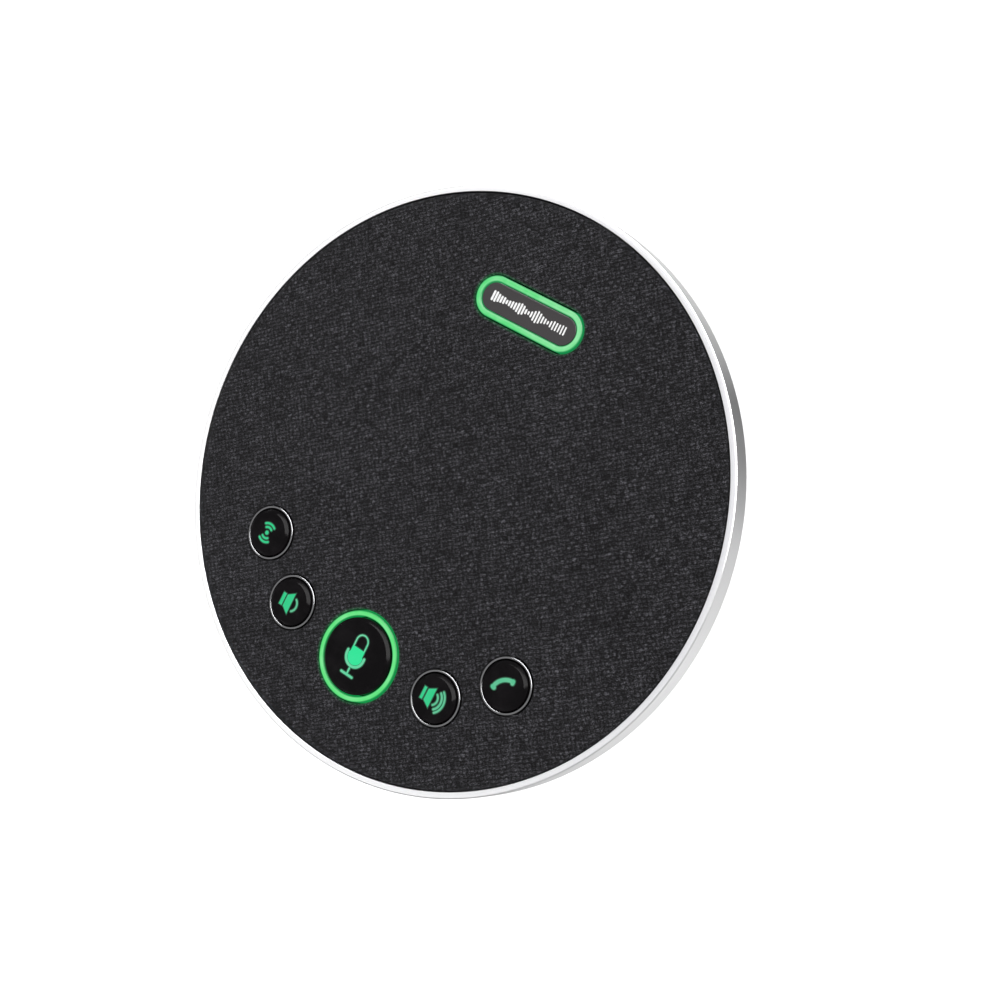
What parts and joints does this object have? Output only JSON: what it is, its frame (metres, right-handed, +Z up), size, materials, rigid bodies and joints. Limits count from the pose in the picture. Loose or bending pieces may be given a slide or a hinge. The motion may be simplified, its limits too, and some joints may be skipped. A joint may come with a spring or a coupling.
{
  "type": "conference speakerphone",
  "caption": "Round table-top speakerphone with a fabric top, a ring of push keys round a lit mute key, a lit badge window and rear ports.",
  "frame": {"origin": "on the table under the centre of the round housing", "axes": "+Z up, -Y towards the keys and the person using it, +Y towards the badge and the rear ports, +X to the user's right"},
  "size_m": [0.128, 0.128, 0.0342],
  "materials": {
    "satin_aluminium": "satin",
    "grey_shell": "satin",
    "dark_rubber": "matte",
    "black_plastic": "matte",
    "grey_fabric": "matte",
    "gloss_black": "gloss",
    "chrome": "polished",
    "green_light": "satin",
    "smoked_window": "satin",
    "key_icon": "satin",
    "badge_print": "satin",
    "board_green": "satin",
    "steel": "satin",
    "ferrite": "matte",
    "cone_paper": "matte",
    "copper_coil": "satin",
    "battery_wrap": "satin",
    "flex_amber": "satin",
    "red_wire": "satin",
    "black_wire": "satin",
    "foam": "matte",
    "switch_plastic": "matte"
  },
  "bodies": {
    "housing": {"audio_chip": "black_plastic", "audio_jack": "black_plastic", "badge_light_board": "board_green", "badge_light_ring": "green_light", "badge_window": "smoked_window", "base_screw_1": "steel", "base_screw_2": "steel", "base_screw_3": "steel", "base_screw_4": "steel", "base_shell": "grey_shell", "battery_lead": "red_wire", "battery_pack": "battery_wrap", "battery_socket": "switch_plastic", "call_bezel": "chrome", "call_switch": "switch_plastic", "fabric_cover": "grey_fabric", "foot_ring": "dark_rubber", "key_board": "board_green", "key_flex_cable": "flex_amber", "main_board": "board_green", "mic_board_1": "board_green", "mic_board_2": "board_green", "mic_board_3": "board_green", "mic_board_4": "board_green", "mic_boot_1": "dark_rubber", "mic_boot_2": "dark_rubber", "mic_boot_3": "dark_rubber", "mic_boot_4": "dark_rubber", "mute_light_ring": "green_light", "mute_switch": "switch_plastic", "pairing_bezel": "chrome", "pairing_switch": "switch_plastic", "port_panel": "black_plastic", "power_switch": "switch_plastic", "radio_module": "steel", "rim_ring": "satin_aluminium", "speaker_basket": "steel", "speaker_gasket": "foam", "speaker_lead_black": "black_wire", "speaker_lead_red": "red_wire", "speaker_magnet": "ferrite", "speaker_surround": "dark_rubber", "speaker_top_plate": "steel", "speaker_yoke": "steel", "top_deck": "black_plastic", "usb_c_receptacle": "steel", "volume_down_bezel": "chrome", "volume_down_switch": "switch_plastic", "volume_up_bezel": "chrome", "volume_up_switch": "switch_plastic"},
    "pairing_key": {"pairing_key": "gloss_black"},
    "volume_down_key": {"volume_down_key": "gloss_black"},
    "mute_key": {"mute_key": "gloss_black"},
    "volume_up_key": {"volume_up_key": "gloss_black"},
    "call_key": {"call_key": "gloss_black"},
    "power_button": {"power_button": "gloss_black"},
    "speaker_diaphragm": {"speaker_cone": "cone_paper", "speaker_dust_cap": "cone_paper", "speaker_voice_coil": "copper_coil"}
  },
  "joints": [
    {"name": "pairing_press", "type": "slide", "parent": "housing", "child": "pairing_key", "axis": [0, 0, -1], "range_m": [0, 0.0006], "stiffness_N_per_m": 1000, "springref_m": -0.001},
    {"name": "volume_down_press", "type": "slide", "parent": "housing", "child": "volume_down_key", "axis": [0, 0, -1], "range_m": [0, 0.0006], "stiffness_N_per_m": 1000, "springref_m": -0.001},
    {"name": "mute_press", "type": "slide", "parent": "housing", "child": "mute_key", "axis": [0, 0, -1], "range_m": [0, 0.0006], "stiffness_N_per_m": 1000, "springref_m": -0.001},
    {"name": "volume_up_press", "type": "slide", "parent": "housing", "child": "volume_up_key", "axis": [0, 0, -1], "range_m": [0, 0.0006], "stiffness_N_per_m": 1000, "springref_m": -0.001},
    {"name": "call_press", "type": "slide", "parent": "housing", "child": "call_key", "axis": [0, 0, -1], "range_m": [0, 0.0006], "stiffness_N_per_m": 1000, "springref_m": -0.001},
    {"name": "power_press", "type": "slide", "parent": "housing", "child": "power_button", "axis": [0, -1, 0], "range_m": [0, 0.0006], "stiffness_N_per_m": 1000, "springref_m": -0.001},
    {"name": "diaphragm_travel", "type": "slide", "parent": "housing", "child": "speaker_diaphragm", "axis": [0, 0, 1], "range_m": [-0.001, 0.001], "stiffness_N_per_m": 3000}
  ]
}
